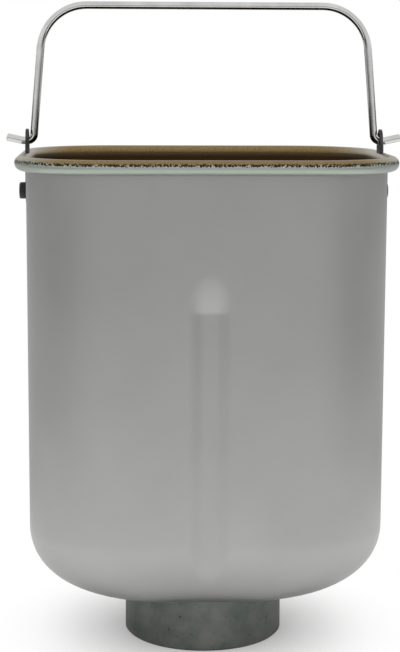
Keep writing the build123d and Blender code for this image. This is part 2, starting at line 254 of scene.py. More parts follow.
class ShapeTree:
    """A Geometry Nodes tree with named sizes, which ends as a plain mesh."""

    def __init__(self, name: str, sizes: dict[str, float | int], finish: "Finish") -> None:
        """Makes the tree's inputs.

        Args:
            name: The tree's name.
            sizes: Each named input with its value, an int for a count.
            finish: The finish that the shape leaves the tree with.
        """
        self.tree = bpy.data.node_groups.new(name, "GeometryNodeTree")
        self.sizes = sizes
        self.finish = finish
        sockets = self.tree.interface
        sockets.new_socket("Geometry", in_out="INPUT", socket_type="NodeSocketGeometry")
        for label, value in sizes.items():
            kind = "NodeSocketInt" if isinstance(value, int) else "NodeSocketFloat"
            sockets.new_socket(label, in_out="INPUT", socket_type=kind)
        sockets.new_socket("Geometry", in_out="OUTPUT", socket_type="NodeSocketGeometry")
        self.given = self.add("NodeGroupInput").outputs

    def add(self, kind: str, inputs: Inputs | None = None, **settings: Any) -> bpy.types.Node:
        """Adds a node to this tree, as add_node does."""
        return add_node(self.tree, kind, inputs, **settings)

    def end(self, shape: Socket) -> None:
        """Realizes the shape, sets its material and gives it out.

        Args:
            shape: The shape, which may hold instances.
        """
        whole = self.add("GeometryNodeRealizeInstances", {"Geometry": shape}).outputs["Geometry"]
        inputs = {"Geometry": whole, "Material": self.finish.material()}
        dressed = self.add("GeometryNodeSetMaterial", inputs)
        self.add("NodeGroupOutput", {"Geometry": dressed.outputs["Geometry"]})

    def shape(self, name: str, start: bpy.types.Mesh) -> bpy.types.Mesh:
        """Runs the tree once.

        Args:
            name: The name of the new mesh.
            start: The mesh that goes in.

        Returns:
            What comes out, as a plain mesh.
        """
        piece = new_piece(name, start)
        modifier = piece.modifiers.new(self.tree.name, "NODES")
        modifier.node_group = self.tree
        for item in self.tree.interface.items_tree:
            if item.in_out == "INPUT" and item.name in self.sizes:
                modifier[item.identifier] = self.sizes[item.name]
        graph = bpy.context.evaluated_depsgraph_get()
        mesh = bpy.data.meshes.new_from_object(piece.evaluated_get(graph))
        mesh.name = name
        piece.modifiers.remove(modifier)
        bpy.data.objects.remove(piece)
        bpy.data.meshes.remove(start)
        return mesh


@dataclass(frozen=True)
class Finish:
    """A surface finish, whose material is built from nodes when it is first used."""

    name: str

    def material(self) -> bpy.types.Material:
        """Makes the finish's material, or finds it.

        Returns:
            The material.
        """
        made = bpy.data.materials.get(self.name)
        if made is None:
            made = bare_material(self.name)
            tree = made.node_tree
            place = add_node(tree, "ShaderNodeTexCoord").outputs["Object"]
            shader = add_node(tree, "ShaderNodeBsdfPrincipled", self.paint(tree, place))
            add_node(tree, "ShaderNodeOutputMaterial", {"Surface": shader.outputs["BSDF"]})
        return made

    def paint(self, tree: bpy.types.NodeTree, place: Socket) -> Inputs:
        """Adds the finish's nodes.

        Args:
            tree: The material's tree.
            place: The point on the piece, in metres.

        Returns:
            What each input of the surface shader takes.
        """
        raise NotImplementedError


@dataclass(frozen=True)
class BareMetal(Finish):
    """Bare metal: an even tone with soft patches and fine marks that run one way."""

    face: str
    shade: str
    roughness: float
    spread: float
    patch_mm: float
    grain_mm: float
    relief_mm: float
    lay: Lay = Lay.CLOUDED
    patch_detail: float = 3.0
    mark_detail: float = 4.0

    def paint(self, tree: bpy.types.NodeTree, place: Socket) -> Inputs:
        """Mixes two tones by patches, and lets the marks vary the gloss and the relief.

        Args:
            tree: The material's tree.
            place: The point on the piece, in metres.

        Returns:
            What each input of the surface shader takes.
        """
        add = partial(add_node, tree)
        run = place
        if self.lay is Lay.TURNED:
            run = add("ShaderNodeMapping", {"Vector": place, "Scale": TURNED_SCALE}).outputs[0]
        elif self.lay is Lay.FACED:
            level = {0: place, 1: (1, 1, 0)}
            flat = add("ShaderNodeVectorMath", level, operation="MULTIPLY").outputs[0]
            run = add("ShaderNodeVectorMath", {0: flat}, operation="LENGTH").outputs[1]
        patches, marks = (
            add("ShaderNodeTexNoise", dict(zip(NOISE, pattern))).outputs["Fac"]
            for pattern in (
                (place, per_metre(self.patch_mm), self.patch_detail),
                (run, per_metre(self.grain_mm), self.mark_detail),
            )
        )
        glosses = (self.roughness - self.spread, self.roughness + self.spread)
        weight, gloss = (
            add("ShaderNodeMapRange", dict(zip(RAMP, ends))).outputs[0]
            for ends in ((patches, *NOISE_SPAN), (marks, *NOISE_SPAN, *glosses))
        )
        tones = {0: weight, 6: linear(self.shade), 7: linear(self.face)}
        relief = {"Height": marks, "Distance": self.relief_mm * MM}
        return {
            "Base Color": add("ShaderNodeMix", tones, data_type="RGBA").outputs[2],
            "Metallic": 1.0,
            "Roughness": gloss,
            "Normal": add("ShaderNodeBump", relief).outputs[0],
        }


@dataclass(frozen=True)
class CastMetal(Finish):
    """Die-cast metal: a cloudy skin with small dark pits."""

    face: str
    shade: str
    pit: str
    roughness: float
    cloud_mm: float
    grain_mm: float
    pit_mm: float
    spread: float = 0.1
    metallic: float = 0.9
    relief_mm: float = 0.06
    cloud_detail: float = 5.0
    cloud_roughness: float = 0.62
    cloud_span: Pair = (0.32, 0.68)
    grain_detail: float = 3.0
    pit_edge: Pair = (0.05, 0.2)
    pitted_clouds: Pair = (0.55, 0.4)

    def paint(self, tree: bpy.types.NodeTree, place: Socket) -> Inputs:
        """Layers clouds and pits, and raises the cast grain.

        Args:
            tree: The material's tree.
            place: The point on the piece, in metres.

        Returns:
            What each input of the surface shader takes.
        """
        add = partial(add_node, tree)
        clouds, grain = (
            add("ShaderNodeTexNoise", dict(zip(NOISE, pattern))).outputs["Fac"]
            for pattern in (
                (place, per_metre(self.cloud_mm), self.cloud_detail, self.cloud_roughness),
                (place, per_metre(self.grain_mm), self.grain_detail),
            )
        )
        spots = dict(zip(NOISE, (place, per_metre(self.pit_mm))))
        cells = add("ShaderNodeTexVoronoi", spots).outputs["Distance"]
        weight, pits, rare, gloss = (
            add("ShaderNodeMapRange", dict(zip(RAMP, ends))).outputs[0]
            for ends in (
                (clouds, *self.cloud_span),
                (cells, *self.pit_edge, 1.0, 0.0),
                (clouds, *self.pitted_clouds),
                (grain, *UNIT, self.roughness - self.spread, self.roughness + self.spread),
            )
        )
        marks = add("ShaderNodeMath", {0: pits, 1: rare}, operation="MULTIPLY").outputs[0]
        tone: Any = linear(self.shade)
        for share, colour in ((weight, self.face), (marks, self.pit)):
            inputs = {0: share, 6: tone, 7: linear(colour)}
            tone = add("ShaderNodeMix", inputs, data_type="RGBA").outputs[2]
        sunk = add("ShaderNodeMath", {0: grain, 1: marks}, operation="SUBTRACT").outputs[0]
        relief = {"Height": sunk, "Distance": self.relief_mm * MM}
        return {
            "Base Color": tone,
            "Metallic": self.metallic,
            "Roughness": gloss,
            "Normal": add("ShaderNodeBump", relief).outputs[0],
        }


@dataclass(frozen=True)
class Rubber(Finish):
    """Moulded rubber: matt, with a dusty bloom in patches."""

    face: str
    bloom: str
    grain_mm: float
    roughness: float = 0.72
    ior: float = 1.52
    relief_mm: float = 0.03
    dust_coarseness: float = 4.0
    dust_detail: float = 4.0
    dust_span: Pair = (0.4, 0.8)

    def paint(self, tree: bpy.types.NodeTree, place: Socket) -> Inputs:
        """Dusts the tone with bloom and adds a fine moulded grain.

        Args:
            tree: The material's tree.
            place: The point on the piece, in metres.

        Returns:
            What each input of the surface shader takes.
        """
        add = partial(add_node, tree)
        dust, grain = (
            add("ShaderNodeTexNoise", dict(zip(NOISE, pattern))).outputs["Fac"]
            for pattern in (
                (place, per_metre(self.dust_coarseness * self.grain_mm), self.dust_detail),
                (place, per_metre(self.grain_mm)),
            )
        )
        weight = add("ShaderNodeMapRange", dict(zip(RAMP, (dust, *self.dust_span)))).outputs[0]
        tones = {0: weight, 6: linear(self.face), 7: linear(self.bloom)}
        relief = {"Height": grain, "Distance": self.relief_mm * MM}
        return {
            "Base Color": add("ShaderNodeMix", tones, data_type="RGBA").outputs[2],
            "Roughness": self.roughness,
            "IOR": self.ior,
            "Normal": add("ShaderNodeBump", relief).outputs[0],
        }


@dataclass(frozen=True)
class NonStick(Finish):
    """Sprayed bronze non-stick coat: satin, with a fine metal fleck and a faint orange peel."""

    face: str
    shade: str
    fleck_mm: float
    peel_mm: float
    metallic: float = 0.35
    glosses: Pair = (0.5, 0.36)
    relief_mm: float = 0.04
    fleck_span: Pair = (0.35, 0.65)

    def paint(self, tree: bpy.types.NodeTree, place: Socket) -> Inputs:
        """Mixes the coat's two tones by its fleck and lifts a soft peel.

        Args:
            tree: The material's tree.
            place: The point on the piece, in metres.

        Returns:
            What each input of the surface shader takes.
        """
        add = partial(add_node, tree)
        fleck, peel = (
            add("ShaderNodeTexNoise", dict(zip(NOISE, (place, per_metre(size))))).outputs["Fac"]
            for size in (self.fleck_mm, self.peel_mm)
        )
        weight, gloss = (
            add("ShaderNodeMapRange", dict(zip(RAMP, ends))).outputs[0]
            for ends in ((fleck, *self.fleck_span), (fleck, *UNIT, *self.glosses))
        )
        tones = {0: weight, 6: linear(self.shade), 7: linear(self.face)}
        relief = {"Height": peel, "Distance": self.relief_mm * MM}
        return {
            "Base Color": add("ShaderNodeMix", tones, data_type="RGBA").outputs[2],
            "Metallic": self.metallic,
            "Roughness": gloss,
            "Normal": add("ShaderNodeBump", relief).outputs[0],
        }


@dataclass(frozen=True)
class CoatedPan(Finish):
    """Blasted drawn aluminium, coated inside and over the rim by a spray with a speckled edge.

    The piece's "coat" attribute is how far a point lies inside the coat's edge, in millimetres,
    and the reaches and depths here that go with it are in millimetres too.
    """

    bare: str
    bare_shade: str
    bead: str
    coat: str
    coat_shade: str
    # The deep tone, and the depth where it sets in, paint shade down the inside walls.
    coat_painted_shade: str
    edge_shade: str
    cloud_mm: float
    blast_mm: float
    ragged_mm: float
    drop_mm: float
    fleck_mm: float
    bead_reach: float
    painted_shade_depth: Pair
    # The span and share of the ends' paling paint a reflection there.
    sheen_span: Pair
    sheen_share: float
    cloud_detail: float = 3.0
    ragged_detail: float = 5.0
    swing: Pair = (-1.2, 1.2)
    film_edge: Pair = (-0.35, 0.35)
    speck_reach: Pair = (0.45, 1.1)
    speck_size: Pair = (0.62, 0.0)
    bead_fade: float = 0.5
    fleck_span: Pair = (0.38, 0.62)
    metallic: Pair = (1.0, 0.92)
    bare_gloss: Pair = (0.36, 0.46)
    coat_gloss: float = 0.38
    relief_mm: float = 0.025

    def paint(self, tree: bpy.types.NodeTree, place: Socket) -> Inputs:
        """Covers the bare metal with the coat up to its ragged edge.

        Args:
            tree: The material's tree.
            place: The point on the piece, in metres.

        Returns:
            What each input of the surface shader takes.
        """
        add = partial(add_node, tree)
        edge = add("ShaderNodeAttribute", attribute_name="coat").outputs["Fac"]
        clouds, blast, ragged, fleck = (
            add("ShaderNodeTexNoise", dict(zip(NOISE, pattern))).outputs["Fac"]
            for pattern in (
                (place, per_metre(self.cloud_mm), self.cloud_detail),
                (place, per_metre(self.blast_mm)),
                (place, per_metre(self.ragged_mm), self.ragged_detail),
                (place, per_metre(self.fleck_mm)),
            )
        )
        spots = dict(zip(NOISE, (place, per_metre(self.drop_mm))))
        drops = add("ShaderNodeTexVoronoi", spots).outputs["Distance"]
        across = add("ShaderNodeSeparateXYZ", {0: place}).outputs["X"]
        away, outward = (
            add("ShaderNodeMath", {0: value}, operation="ABSOLUTE").outputs[0]
            for value in (edge, across)
        )
        # The film's edge wanders by about a millimetre.
        wander = dict(zip(RAMP, (ragged, *UNIT, *self.swing)))
        swing = add("ShaderNodeMapRange", wander, clamp=False).outputs[0]
        pulled = add("ShaderNodeMath", {0: edge, 1: swing}, operation="ADD").outputs[0]
        film, reach, cloudy, on_bead, flecked, painted_shade, bare_gloss = (
            add("ShaderNodeMapRange", dict(zip(RAMP, ends))).outputs[0]
            for ends in (
                (pulled, *self.film_edge),
                (away, *self.speck_reach, *self.speck_size),
                (clouds, *NOISE_SPAN),
                (edge, -self.bead_reach - self.bead_fade, -self.bead_reach),
                (fleck, *self.fleck_span),
                (edge, *self.painted_shade_depth),
                (blast, *UNIT, *self.bare_gloss),
            )
        )
        # Dry dark specks lie on both sides of the film's edge.
        specks = add("ShaderNodeMath", {0: drops, 1: reach}, operation="LESS_THAN").outputs[0]
        cover = add("ShaderNodeMath", {0: film, 1: specks}, operation="MAXIMUM").outputs[0]
        # Round the pan's two ends the film is paled towards the bead's tone: a painted reflection.
        ends = (self.sheen_span[0] * MM, self.sheen_span[1] * MM)
        sheen_ramp = dict(zip(RAMP, (outward, *ends, 0.0, self.sheen_share)))
        end_sheen = add("ShaderNodeMapRange", sheen_ramp, interpolation_type="SMOOTHSTEP").outputs[0]
        # Down the walls the film is darkened to deep brown: painted shade for the dim inside.
        film_layers = (
            (flecked, self.coat), (end_sheen, self.bead),
            (painted_shade, self.coat_painted_shade), (specks, self.edge_shade),
        )
        tones: list[Any] = []
        for ground, layers in (
            (self.bare_shade, ((cloudy, self.bare), (on_bead, self.bead))),
            (self.coat_shade, film_layers),
        ):
            tones.append(linear(ground))
            for share, colour in layers:
                inputs = {0: share, 6: tones[-1], 7: linear(colour)}
                tones[-1] = add("ShaderNodeMix", inputs, data_type="RGBA").outputs[2]
        covered = {0: cover, 6: tones[0], 7: tones[1]}
        metallic = dict(zip(RAMP, (cover, *UNIT, *self.metallic)))
        gloss = {0: cover, 2: bare_gloss, 3: self.coat_gloss}
        peened = add("ShaderNodeMath", {0: blast, 1: cover}, operation="ADD").outputs[0]
        relief = {"Height": peened, "Distance": self.relief_mm * MM}
        return {
            "Base Color": add("ShaderNodeMix", covered, data_type="RGBA").outputs[2],
            "Metallic": add("ShaderNodeMapRange", metallic).outputs[0],
            "Roughness": add("ShaderNodeMix", gloss, data_type="FLOAT").outputs[0],
            "Normal": add("ShaderNodeBump", relief).outputs[0],
        }


# Blast marks, grain and fleck are finer on the real pan than the picture can show, so they are
# drawn coarser here.

# Drawn aluminium sheet, bead-blasted outside to a soft even grey. Inside and over the rim it has
# a bronze non-stick spray, whose lower edge breaks up into specks halfway down the bead.
# Its paled ends are a painted reflection.
# The spray's deep brown down the walls is painted shade.
PAN_FINISH = CoatedPan(
    name="blasted_aluminium_with_bronze_nonstick",
    bare="#aeaead", bare_shade="#a9a9a8", bead="#abb3aa",
    coat="#8e7a55", coat_shade="#756342", coat_painted_shade="#45351f", edge_shade="#2f2718",
    cloud_mm=38.0, blast_mm=0.7, ragged_mm=1.0, drop_mm=0.8, fleck_mm=0.6,
    bead_reach=7.5, painted_shade_depth=(7.2, 11.0), sheen_span=(62.0, 84.0), sheen_share=0.45,
)
# Bright drawn spring-steel wire: nearly a mirror, so it shows a pale core between dark edges.
WIRE_FINISH = BareMetal(
    name="polished_steel_wire", face="#d4d4d2", shade="#bfbfbd",
    roughness=0.13, spread=0.04, patch_mm=9.0, grain_mm=0.5, relief_mm=0.004,
)
# Stamped steel strip, dark grey and slightly patchy: its dark tone is a painted dark reflection.
LUG_FINISH = BareMetal(
    name="stamped_steel_strip", face="#58585a", shade="#3b3b3d",
    roughness=0.36, spread=0.08, patch_mm=3.0, grain_mm=0.4, relief_mm=0.012,
)
# Headed steel rivets, dark with a soft shine: the dark tone is painted shade under the rim.
RIVET_FINISH = BareMetal(
    name="headed_steel_rivet", face="#474747", shade="#333334",
    roughness=0.4, spread=0.08, patch_mm=2.5, grain_mm=0.5, relief_mm=0.01,
)
# Soft aluminium rivets: pale, with a tumbled satin skin.
BASE_RIVET_FINISH = BareMetal(
    name="tumbled_aluminium_rivet", face="#b9b9b6", shade="#a3a3a0",
    roughness=0.42, spread=0.07, patch_mm=2.5, grain_mm=0.4, relief_mm=0.01,
)
# Pressure die-cast ring, left as it came from the die: dark, cloudy and slightly pitted.
RING_FINISH = CastMetal(
    name="die_cast_ring", face="#7c7c7a", shade="#5f6763", pit="#404341",
    roughness=0.56, cloud_mm=11.0, grain_mm=0.7, pit_mm=3.4,
)
# The coupling is cast too, and is brighter and smoother than the ring.
COUPLING_FINISH = CastMetal(
    name="die_cast_coupling", face="#a2a4a3", shade="#868887", pit="#5d5f5e",
    roughness=0.42, cloud_mm=6.0, grain_mm=0.6, pit_mm=2.6,
)
# Ground stainless shaft: bright, with fine turned rings.
SHAFT_FINISH = BareMetal(
    name="ground_stainless_shaft", face="#cfcfcc", shade="#bdbdba",
    roughness=0.24, spread=0.07, patch_mm=8.0, grain_mm=0.25, relief_mm=0.004, lay=Lay.TURNED,
)
# Stainless washers and clip, faced on a lathe: rings round the axis catch the light.
WASHER_FINISH = BareMetal(
    name="faced_stainless_washer", face="#c6c6c3", shade="#b0b0ad",
    roughness=0.3, spread=0.08, patch_mm=4.0, grain_mm=0.3, relief_mm=0.005, lay=Lay.FACED,
)
# Sintered bronze bushes: warm brown, oily and slightly open-grained.
BUSH_FINISH = BareMetal(
    name="sintered_bronze_bush", face="#a98357", shade="#86643f",
    roughness=0.46, spread=0.1, patch_mm=2.0, grain_mm=0.25, relief_mm=0.015,
)
# Spring steel with a straw-coloured temper.
SPRING_FINISH = BareMetal(
    name="tempered_spring_steel", face="#b3ac98", shade="#8f8876",
    roughness=0.34, spread=0.08, patch_mm=2.0, grain_mm=0.2, relief_mm=0.004,
)
# Black nitrile lip seal and a red-brown silicone gasket.
SEAL_FINISH = Rubber(name="moulded_nitrile_seal", face="#1d1d1e", bloom="#3a3a3b", grain_mm=0.5)
GASKET_FINISH = Rubber(name="cut_silicone_gasket", face="#8c3b2b", bloom="#a05a4a", grain_mm=0.6)
# The paddle is cast aluminium under the same kind of bronze spray as the pan's inside.
PADDLE_FINISH = NonStick(
    name="bronze_nonstick_casting", face="#94825f", shade="#6f5e40", fleck_mm=0.6, peel_mm=1.6
)


def settle(piece: bpy.types.Object, body: Body, slot: str, *nodes: str) -> None:
    """Puts a finished piece on its body in place of the solids that it stands for.

    Args:
        piece: The piece, at the origin with its place in its mesh.
        body: The body that carries it.
        slot: The name of a material slot; not used.
        nodes: The solids that it replaces.
    """
    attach(piece, body.value)
    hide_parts(*nodes)
    LOG.info("%s rides on %s for %s", piece.name, body.value, ", ".join(nodes))


class Row(NamedTuple):
    """One closed line round the pan, a rounded rectangle at one level, in millimetres."""

    half_x: float
    half_y: float
    radius: float
    level: float
    skin: float
    coat: float


@dataclass
class DrawnPan:
    """The drawn pan: draughted walls, a bowl, a rolled rim, two pressed ribs and a raised boss."""

    sheet: float = 1.5
    corner_radius: float = 37.0
    draft: float = 0.2
    bowl_height: float = 33.0
    bowl_inset_x: float = 37.0
    bowl_inset_y: float = 25.0
    floor_flat: float = 1.0
    curl_radius: float = 3.25
    curl_gap: float = 0.4
    rib_width: float = 19.8
    rib_flank: float = 8.0
    rib_depth: float = 2.5
    rib_top_drop: float = 48.0
    rib_ledge: float = 17.5
    ledge_bend: float = 1.8
    ledge_fold: float = 0.15
    ledge_overrun: float = 1.2
    run_out_softness: float = 4.0
    boss_height: float = 10.0
    boss_top_radius: float = 12.0
    boss_base_radius: float = 14.0
    boss_blend: float = 2.5
    boss_apron: float = 5.0
    boss_hole_radius: float = 6.0
    coat_edge_deg: float = 21.0
    fine_step: float = 0.6
    fine_reach: float = 18.0
    wall_lines: tuple[int, int, int] = (14, 32, 9)
    bowl_lines: int = 31
    inner_curl_steps: int = 18
    outer_curl_steps: int = 44
    floor_steps: int = 6
    boss_steps: int = 6
    under_boss_steps: int = 4
    coarse_columns: int = 6
    end_columns: int = 9
    corner_columns: int = 25

    def __post_init__(self) -> None:
        """Takes the pan's levels and outer sizes from the solid."""
        low, high = (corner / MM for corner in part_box("pan_shell"))
        overhang = 2 * self.curl_radius - self.sheet
        self.bottom = low.z
        self.crest = high.z
        self.width = high.x - low.x - 2 * overhang
        self.depth = high.y - low.y - 2 * overhang
        self.rim_level = self.crest - self.curl_radius
        self.bowl_top = self.bottom + self.bowl_height
        self.rib_top = self.crest - self.rib_top_drop
        drawn_in = 2 * (self.rim_level - self.bowl_top) * math.tan(math.radians(self.draft))
        self.bowl_width = self.width - drawn_in
        self.bowl_depth = self.depth - drawn_in
        floor_half = min(
            self.bowl_depth / 2 - self.bowl_inset_y, self.bowl_width / 2 - self.bowl_inset_x
        )
        self.floor_corner = min(self.corner_radius, floor_half - self.floor_flat)
        self.coat_at_wall = self.curl_radius * math.radians(180 - self.coat_edge_deg)

    def _row(
        self, half_width: float, half_depth: float, radius: float, level: float, skin: float
    ) -> Row:
        """Makes a line of the wall or the bowl.

        Args:
            half_width: Half the line's width, its corners included.
            half_depth: Half its depth.
            radius: The corners' radius there.
            level: Its level.
            skin: How far it lies inside the outer face, 0 for the outer face itself.

        Returns:
            The line.
        """
        run = self.coat_at_wall + self.rim_level - level
        coat = run if skin else -run
        return Row(half_width - radius, half_depth - radius, radius, level, skin, coat)

    def _wall_row(self, level: float, skin: float) -> Row:
        """Makes a line of the wall.

        Args:
            level: The line's level.
            skin: How far it lies inside the outer face.

        Returns:
            The line.
        """
        share = (self.rim_level - level) / (self.rim_level - self.bowl_top)
        half_width = (self.width + share * (self.bowl_width - self.width)) / 2
        half_depth = (self.depth + share * (self.bowl_depth - self.depth)) / 2
        outer = self._row(half_width, half_depth, self.corner_radius, level, skin)
        return outer._replace(radius=self.corner_radius - skin)

    def _bowl_row(self, turn_deg: float, skin: float) -> Row:
        """Makes a line of the bowl.

        Args:
            turn_deg: How far its profile has turned from the wall there.
            skin: How far the line lies inside the outer face.

        Returns:
            The line.
        """
        shrink = 1 - math.cos(math.radians(turn_deg))
        level = self.bowl_top - (self.bowl_height - skin) * math.sin(math.radians(turn_deg))
        half_width = self.bowl_width / 2 - skin - (self.bowl_inset_x - skin) * shrink
        half_depth = self.bowl_depth / 2 - skin - (self.bowl_inset_y - skin) * shrink
        radius = (self.corner_radius - skin) * (1 - shrink) + self.floor_corner * shrink
        return self._row(half_width, half_depth, radius, level, skin)

    def _curl_rows(self, radius: float, first_deg: float, last_deg: float, steps: int) -> list[Row]:
        """Makes the lines of one face of the rim's curl.

        Args:
            radius: The face's radius about the curl's centre.
            first_deg: Where the face starts, from level outward, positive upward.
            last_deg: Where it ends.
            steps: The lines' count, less one.

        Returns:
            The lines in order.
        """
        wall = self._wall_row(self.rim_level, 0)
        rows = []
        for angle in np.radians(np.linspace(first_deg, last_deg, steps + 1)):
            out = self.curl_radius - self.sheet + radius * math.cos(angle)
            level = self.rim_level + radius * math.sin(angle)
            coat = self.curl_radius * (angle - math.radians(self.coat_edge_deg))
            rows.append(wall._replace(radius=wall.radius + out, level=level, coat=coat))
        return rows

    def _floor_rows(self, start: Row) -> list[Row]:
        """Makes the floor's lines from the bowl's foot in to the boss's round apron.

        Args:
            start: The bowl's last line.

        Returns:
            The lines in order, without the first.
        """
        apron = self.boss_base_radius + self.boss_apron
        rows = []
        for share in np.linspace(0, 1, self.floor_steps + 1)[1:]:
            half_x, half_y = start.half_x * (1 - share), start.half_y * (1 - share)
            radius = start.radius + (apron - start.radius) * share
            rows.append(start._replace(half_x=half_x, half_y=half_y, radius=radius))
        return rows

    def _boss_rows(self) -> tuple[list[Row], list[Row]]:
        """Makes the boss's lines from the apron to the hole.

        Returns:
            The lines inside the pan and those underneath it.
        """
        floor, base, tip = self.bottom + self.sheet, self.boss_base_radius, self.boss_top_radius
        top = floor + self.boss_height
        under_top = top - self.sheet
        apron = base + self.boss_apron
        hole = self.boss_hole_radius
        inside = rounded(
            [(apron, floor), (base, floor), (tip, top), (hole, top)],
            [self.boss_blend, self.boss_blend],
            self.boss_steps,
        )
        under_base = (base - self.sheet, self.bottom)
        under = rounded(
            [(apron, self.bottom), under_base, (tip - self.sheet, under_top), (hole, under_top)],
            [self.sheet, self.sheet],
            self.under_boss_steps,
        )
        coat = self.coat_at_wall + self.rim_level - self.bottom
        in_rows = [Row(0, 0, radius, level, self.sheet, coat) for radius, level in inside[1:]]
        under_rows = [Row(0, 0, radius, level, 0, -coat) for radius, level in under[1:]]
        return in_rows, under_rows

    def rows(self) -> list[Row]:
        """Makes every line of the sheet.

        Returns:
            The lines, from the hole's underside round the rim to the hole's top.
        """
        ledge_low = self.rib_top - self.ledge_overrun * self.rib_ledge
        ledge_high = self.rib_top + 2 * self.fine_step
        stops = (self.bowl_top, ledge_low, ledge_high, self.rim_level)
        spans = zip(stops, stops[1:], self.wall_lines)
        levels = np.concatenate([np.linspace(low, high, count)[1:] for low, high, count in spans])
        turns = np.linspace(90, 0, self.bowl_lines)
        inner_radius = self.curl_radius - self.sheet
        lip = self.curl_gap - inner_radius
        inner_end = -math.degrees(math.acos(lip / inner_radius))
        outer_end = -math.degrees(math.acos(lip / self.curl_radius))
        boss_inside, boss_under = self._boss_rows()
        sheet_rows = boss_under[::-1] + self._floor_rows(self._bowl_row(90, 0))[::-1]
        sheet_rows += [self._bowl_row(turn, 0) for turn in turns]
        sheet_rows += [self._wall_row(level, 0) for level in levels]
        sheet_rows += self._curl_rows(inner_radius, 180, inner_end, self.inner_curl_steps)[1:]
        sheet_rows += self._curl_rows(self.curl_radius, outer_end, 180, self.outer_curl_steps)
        sheet_rows += [self._wall_row(level, self.sheet) for level in levels[::-1]][1:]
        sheet_rows += [self._bowl_row(turn, self.sheet) for turn in turns[::-1]]
        sheet_rows += self._floor_rows(self._bowl_row(90, self.sheet)) + boss_inside
        return sheet_rows

    def columns(self) -> np.ndarray:
        """Places the points of a line.

        Returns:
            For each point its place along the straight sides and its outward direction.
        """
        straight = self.width / 2 - self.corner_radius
        fine_end = self.fine_reach + self.fine_step / 2
        fine = np.arange(-self.fine_reach, fine_end, self.fine_step) / straight
        coarse = np.linspace(fine[-1], 1, self.coarse_columns)[1:]
        along = np.concatenate([-coarse[::-1], fine, coarse])
        across = np.linspace(-1, 1, self.end_columns)
        arc = np.radians(np.linspace(0, 90, self.corner_columns)[1:-1])
        points: list[tuple[float, float, float, float]] = []
        sides = [(along, -1), (across, 1), (-along, 1), (-across, -1)]
        for quarter, (ends, side) in enumerate(sides):
            facing = math.radians(90 * quarter - 90)
            normal = (round(math.cos(facing)), round(math.sin(facing)))
            for place in ends:
                anchor = (place, side) if quarter % 2 == 0 else (side, place)
                points.append((*anchor, *normal))
            corner = points[-1][:2]
            points += [(*corner, math.cos(facing + turn), math.sin(facing + turn)) for turn in arc]
        return np.array(points)

    def blank(self) -> bpy.types.Mesh:
        """Makes the sheet before its ribs are pressed.

        Returns:
            The closed mesh, with its skin and coat attributes.
        """
        rows = np.array(self.rows())
        columns = self.columns()
        half_x, half_y, radius, level = (rows[:, [k]] for k in range(4))
        grid = np.stack(
            [
                columns[:, 0] * half_x + columns[:, 2] * radius,
                columns[:, 1] * half_y + columns[:, 3] * radius,
                np.broadcast_to(level, (len(rows), len(columns))),
            ],
            axis=-1,
        )
        count, wide = grid.shape[:2]
        faces = []
        for row in range(count):
            here, there = row * wide, (row + 1) % count * wide
            for column in range(wide):
                beside = (column + 1) % wide
                faces.append((here + column, here + beside, there + beside, there + column))
        mesh = bpy.data.meshes.new("pan_blank")
        mesh.from_pydata((grid.reshape(-1, 3) * MM).tolist(), [], faces)
        for name, values in (("skin", rows[:, 4] * MM), ("coat", rows[:, 5])):
            layer = mesh.attributes.new(name, "FLOAT", "POINT")
            layer.data.foreach_set("value", np.repeat(values, wide).astype(np.float32))
        close_mesh(mesh, CREASE_DEG)
        return mesh

    def rib_press(self) -> ShapeTree:
        """Makes the press that sinks a soft rib with a sloped ledge at its top into each long wall.

        Returns:
            The press, as a tree.
        """
        press = ShapeTree(
            "press_ribs",
            {
                "Reach": self.depth / 2 * MM,
                "Rim level": self.rim_level * MM,
                "Draft rate": math.tan(math.radians(self.draft)),
                "Rib depth": self.rib_depth * MM,
                "Mouth half width": self.rib_width / 2 * MM,
                "Flank run": self.rib_flank * MM,
                "Mouth top": self.rib_top * MM,
                "Ledge": self.rib_ledge * MM,
                "Ledge bend": self.ledge_bend,
                "Ledge fold": self.ledge_fold,
                "Run-out softness": self.run_out_softness * MM,
            },
            PAN_FINISH,
        )
        given, add = press.given, press.add
        skin = add("GeometryNodeInputNamedAttribute", {"Name": "skin"}, data_type="FLOAT")
        point = add("GeometryNodeInputPosition").outputs[0]
        place = add("ShaderNodeSeparateXYZ", {0: point}).outputs
        made: dict[str, Socket] = {label: given[label] for label in press.sizes}
        made |= {"skin": skin.outputs[0], "X": place["X"], "Y": place["Y"], "Z": place["Z"]}
